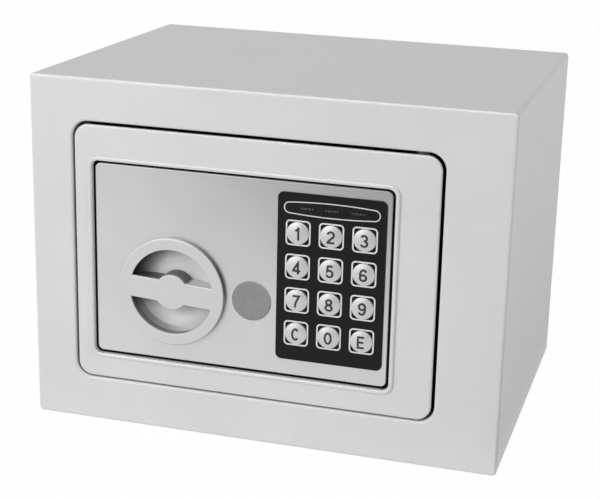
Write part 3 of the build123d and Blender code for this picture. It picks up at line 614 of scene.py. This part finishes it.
def arc(cx, cz, rx, rz, start, end, steps=14):
    """Points along an ellipse from start to end degrees."""
    points = []
    for step in range(steps + 1):
        angle = math.radians(start + (end - start) * step / steps)
        points.append((cx + rx * math.cos(angle), cz + rz * math.sin(angle)))
    return points


def strokes(character):
    """Centre lines of a character that is 1 high and DIGIT_BOX wide."""
    low, high = DIGIT_STROKE / 2, 1 - DIGIT_STROKE / 2
    left, right = DIGIT_STROKE / 2, DIGIT_BOX - DIGIT_STROKE / 2
    mid = DIGIT_BOX / 2
    six = [arc(mid, 0.31, mid - left, 0.31 - low, 0, 360, 24),
           arc(mid + 0.02, 0.55, mid + 0.02 - left, high - 0.55, 35, 195)]
    shapes = {
        "0": [arc(mid, 0.5, mid - left, high - 0.5, 0, 360, 28)],
        "1": [[(0.40, 0), (0.40, 1)], [(0.15, 0.74), (0.29, 0.79), (0.38, 0.93)]],
        "2": [arc(mid, 0.68, mid - left, high - 0.68, 170, -35)
              + [(0.12, 0.17), (0.09, low), (right + 0.05, low)]],
        "3": [arc(0.30, 0.72, 0.215, high - 0.72, 165, -90), arc(0.30, 0.295, 0.245, 0.22, 90, -165)],
        "4": [[(0.43, 0), (0.43, high), (0.07, 0.31), (0.07, 0.27), (0.62, 0.27)]],
        "5": [[(0.54, high), (0.17, high), (0.12, 0.50)] + arc(0.30, 0.335, 0.25, 0.26, 128, -160)],
        "6": six,
        "7": [[(0.05, high), (0.56, high), (0.41, 0.62), (0.29, 0.30), (0.24, 0)]],
        "8": [arc(mid, 0.73, 0.20, high - 0.73, 0, 360, 22), arc(mid, 0.295, 0.24, 0.22, 0, 360, 24)],
        "9": [[(DIGIT_BOX - x, 1 - z) for x, z in path] for path in six],
        "c": [arc(mid + 0.01, 0.5, mid - left, high - 0.5, 42, 318, 24)],
        "e": [[(0.56, high), (0.10, high), (0.10, low), (0.57, low)], [(0.10, 0.52), (0.53, 0.52)]],
    }
    return shapes[character]


def ribbon_sides(path, width):
    """Left and right edges of a line of that width along path, mitred at its corners."""
    closed = math.dist(path[0], path[-1]) < 1e-6
    if closed:
        path = path[:-1]
    count = len(path)
    sides = []
    for i, (x, z) in enumerate(path):
        before = path[i - 1] if i or closed else path[i]
        after = path[(i + 1) % count] if i < count - 1 or closed else path[i]
        turns = []
        for a, b in ((before, (x, z)), ((x, z), after)):
            run = math.dist(a, b)
            if run > 1e-9:
                turns.append(Vector(((a[1] - b[1]) / run, (b[0] - a[0]) / run)))
        normal = sum(turns, Vector((0, 0))).normalized()
        reach = width / 2 / max(normal.dot(turns[0]), 0.4)
        off_x, off_z = normal.x * reach, normal.y * reach
        sides.append(((x + off_x, z + off_z), (x - off_x, z - off_z)))
    return sides, closed


def finer(path, step):
    """The same path with points no further apart than step."""
    points = [path[0]]
    for a, b in zip(path, path[1:]):
        parts = max(1, math.ceil(math.dist(a, b) / step))
        for i in range(1, parts + 1):
            points.append((a[0] + (b[0] - a[0]) * i / parts, a[1] + (b[1] - a[1]) * i / parts))
    return points


def digit(name, character, key, mat):
    """A printed character that follows the key's dome."""
    lo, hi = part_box(key)
    centre = (lo + hi) / 2 / MM
    crown = lo.y / MM
    grid = bmesh.new()

    def corner(x, z, lift):
        x, z = (x - DIGIT_BOX / 2) * DIGIT_H, (z - 0.5) * DIGIT_H - DIGIT_DROP
        y = crown + dome_drop(math.hypot(x, z)) + LEGEND_SINK - lift
        return grid.verts.new(metres(centre.x + x, y, centre.z + z))

    for path in strokes(character):
        sides, closed = ribbon_sides(finer(path, DIGIT_STEP), DIGIT_STROKE)
        rows = [[corner(*one, PRINT_T), corner(*other, PRINT_T), corner(*other, 0), corner(*one, 0)]
                for one, other in sides]
        count = len(rows)
        for i in range(count if closed else count - 1):
            join_rows(grid, rows[i], rows[(i + 1) % count])
        if not closed:
            grid.faces.new(rows[0])
            grid.faces.new(rows[-1])
    bmesh.ops.recalc_face_normals(grid, faces=grid.faces)
    return add_piece(name, grid, mat, key + "_body")


def key_prints(white, dark):
    """The outline and the character of every key."""
    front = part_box("keypad_overlay")[0].y / MM
    outer = rounded_outline(KEY_FRAME_W, KEY_FRAME_H, KEY_FRAME_R)
    trim = 2 * KEY_FRAME_LINE
    inner = rounded_outline(KEY_FRAME_W - trim, KEY_FRAME_H - trim, KEY_FRAME_R - KEY_FRAME_LINE)
    for character in "1234567890ce":
        key = "key_" + character
        lo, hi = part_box(key)
        centre = ((lo.x + hi.x) / 2 / MM, (lo.z + hi.z) / 2 / MM)
        printed_ring(f"{key}_outline", centre, outer, inner, front, white)
        digit(f"{key}_legend", character, key, dark)


def window_print(white, dim):
    """The bowed outline of the indicator window and its three dim marks."""
    lo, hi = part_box("indicator_lens")
    front = min(lo.y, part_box("keypad_overlay")[0].y) / MM
    width = (hi.x - lo.x) / MM + 2 * WINDOW_MARGIN
    height = (hi.z - lo.z) / MM + 2 * WINDOW_MARGIN
    centre = ((lo.x + hi.x) / 2 / MM, (lo.z + hi.z) / 2 / MM)
    flat = height - 2 * WINDOW_BOW
    radius = (flat - WINDOW_END_FLAT) / 2
    outer = rounded_outline(width, flat, radius, WINDOW_BOW)
    trim = 2 * WINDOW_LINE
    inner = rounded_outline(width - trim, flat - trim, radius - WINDOW_LINE, WINDOW_BOW)
    printed_ring("window_outline", centre, outer, inner, front, white)
    for index, share in enumerate(DIM_MARKS):
        x = centre[0] + (share - 0.5) * width
        dim_mark(f"window_mark_{index}", x, centre[1], lo.y / MM, dim)


def dim_mark(name, x, z, front_y, mat):
    """A row of plain dashes."""
    grid = bmesh.new()
    left = x - (sum(DIM_DASH_WIDTHS) + DIM_DASH_GAP * (len(DIM_DASH_WIDTHS) - 1)) / 2
    for width in DIM_DASH_WIDTHS:
        size = Matrix.Diagonal((width * MM, PRINT_T * MM, DIM_DASH_H * MM, 1))
        place = Matrix.Translation(Vector((left + width / 2, front_y - PRINT_T / 2 + MARK_SINK, z)) * MM)
        bmesh.ops.create_cube(grid, size=1, matrix=place @ size)
        left += width + DIM_DASH_GAP
    return add_piece(name, grid, mat, "door")


# ---------------------------------------------------------------- stage
def camera():
    """Camera of the picture, from its place and its three angles."""
    az, el, roll = (math.radians(a) for a in (CAMERA_AZIMUTH, CAMERA_ELEVATION, CAMERA_ROLL))
    right = Vector((math.cos(az), math.sin(az), 0))
    ahead = Vector((-math.sin(az) * math.cos(el), math.cos(az) * math.cos(el), -math.sin(el)))
    down = ahead.cross(right)
    across = math.cos(roll) * right + math.sin(roll) * down
    below = -math.sin(roll) * right + math.cos(roll) * down
    data = bpy.data.cameras.new("camera")
    data.sensor_width = 36
    data.lens = LENS
    data.shift_x, data.shift_y = SHIFT
    data.clip_end = 20
    made = bpy.data.objects.new("camera", data)
    turn = Matrix((across, -below, -ahead)).transposed()
    made.matrix_world = Matrix.Translation(Vector(CAMERA_AT) * MM) @ turn.to_4x4()
    bpy.context.scene.collection.objects.link(made)
    bpy.context.scene.camera = made


def area_light(name, at, size, watts):
    """Soft box that looks at the middle of the safe."""
    data = bpy.data.lights.new(name, "AREA")
    data.shape = "RECTANGLE"
    data.size, data.size_y = size
    data.energy = watts
    made = bpy.data.objects.new(name, data)
    made.location = at
    made.rotation_euler = (Vector(LAMP_AIM) - Vector(at)).to_track_quat("-Z", "Y").to_euler()
    bpy.context.scene.collection.objects.link(made)


def show_white(tree, surface, glow_kind, output, share=1.0):
    """Shows a share of white to camera, glossy and transmission rays, and surface to all the others."""
    path = tree.nodes.new("ShaderNodeLightPath")
    seen = path.outputs["Is Camera Ray"]
    for ray in ("Is Glossy Ray", "Is Transmission Ray"):
        either = tree.nodes.new("ShaderNodeMath")
        either.operation = "MAXIMUM"
        tree.links.new(seen, either.inputs[0])
        tree.links.new(path.outputs[ray], either.inputs[1])
        seen = either.outputs[0]
    part = tree.nodes.new("ShaderNodeMath")
    part.operation = "MULTIPLY"
    part.inputs[1].default_value = share
    tree.links.new(seen, part.inputs[0])
    glow = tree.nodes.new(glow_kind)
    glow.inputs["Color"].default_value = (1, 1, 1, 1)
    glow.inputs["Strength"].default_value = 1
    mixed = tree.nodes.new("ShaderNodeMixShader")
    tree.links.new(part.outputs[0], mixed.inputs[0])
    tree.links.new(surface.outputs[0], mixed.inputs[1])
    tree.links.new(glow.outputs[0], mixed.inputs[2])
    tree.links.new(mixed.outputs[0], tree.nodes[output].inputs["Surface"])


def world():
    """White backdrop over a dimmer ambient light."""
    made = bpy.data.worlds.new("studio")
    bpy.context.scene.world = made
    made.use_nodes = True
    ambient = made.node_tree.nodes["Background"]
    ambient.inputs["Color"].default_value = (1, 1, 1, 1)
    ambient.inputs["Strength"].default_value = AMBIENT
    show_white(made.node_tree, ambient, "ShaderNodeBackground", "World Output")


def floor():
    """Matt floor that the camera sees as nearly plain white."""
    bpy.ops.mesh.primitive_plane_add(size=FLOOR_SIZE, location=(0, 0, FLOOR_Z))
    made = bpy.context.object
    made.name = "floor"
    mat = bpy.data.materials.new("studio_floor")
    mat.use_nodes = True
    shader = mat.node_tree.nodes["Principled BSDF"]
    shader.inputs["Base Color"].default_value = (0.8, 0.8, 0.8, 1)
    shader.inputs["Roughness"].default_value = 0.9
    show_white(mat.node_tree, shader, "ShaderNodeEmission", "Material Output", FLOOR_GLOW)
    made.data.materials.append(mat)


def card(name, corners, level, glow=0.0, seen_by="glossy"):
    """A flat studio card, dark or glowing, that only one kind of ray sees."""
    mesh = bpy.data.meshes.new(name)
    mesh.from_pydata(corners, [], [(0, 1, 2, 3)])
    made = bpy.data.objects.new(name, mesh)
    bpy.context.scene.collection.objects.link(made)
    mat = bpy.data.materials.new(name)
    mat.use_nodes = True
    shader = mat.node_tree.nodes["Principled BSDF"]
    shader.inputs["Base Color"].default_value = (level, level, level, 1)
    shader.inputs["Roughness"].default_value = 0.9
    shader.inputs["Emission Color"].default_value = (1, 1, 1, 1)
    shader.inputs["Emission Strength"].default_value = glow
    mesh.materials.append(mat)
    for ray in ("camera", "diffuse", "glossy", "transmission", "volume_scatter", "shadow"):
        setattr(made, "visible_" + ray, ray == seen_by)


def flag(name, ends, level, glow=0.0):
    """An upright card in front of the cabinet, for its glossy front to mirror."""
    (x0, y0), (x1, y1) = ends
    card(name, [(x0, y0, 0), (x1, y1, 0), (x1, y1, FLAG_H), (x0, y0, FLAG_H)], level, glow)


def floor_flag():
    """Dark card on the floor that takes the bounced light off the lower right of the cabinet."""
    (x0, y0), (x1, y1) = FLOOR_FLAG
    z = FLOOR_FLAG_Z
    card("floor_flag", [(x0, y0, z), (x1, y0, z), (x1, y1, z), (x0, y1, z)], 0.02, seen_by="diffuse")


def strip_light():
    """A long glowing card above the front, mirrored by the edges that face up and forward."""
    (y0, z0), (y1, z1) = STRIP_ENDS
    x = STRIP_W / 2
    card("strip_light", [(-x, y0, z0), (x, y0, z0), (x, y1, z1), (-x, y1, z1)], 0.8, STRIP_GLOW)


def studio():
    """Everything round the safe: its surroundings, cards, lamps and camera."""
    world()
    floor()
    flag("dark_flag", DARK_FLAG, level=0.03)
    flag("grey_flag", GREY_FLAG, level=0.35, glow=0.42)
    floor_flag()
    strip_light()
    area_light("key_light", *KEY_LAMP)
    area_light("fill_light", *FILL_LAMP)
    camera()
    bpy.context.scene.view_settings.view_transform = "Standard"


# ---------------------------------------------------------------- scene
mats = finishes()
dress_nodes(mats)
slot_shade_lip(mats["seal_black"])
recess_shade_crosses(mats["switch_black"])
return_spring(mats["steel"])
key_prints(printed_line("white_print", 214), printed_line("dark_print", 38))
window_print(printed_line("window_print", 205), printed_line("dim_print", 56))
studio()
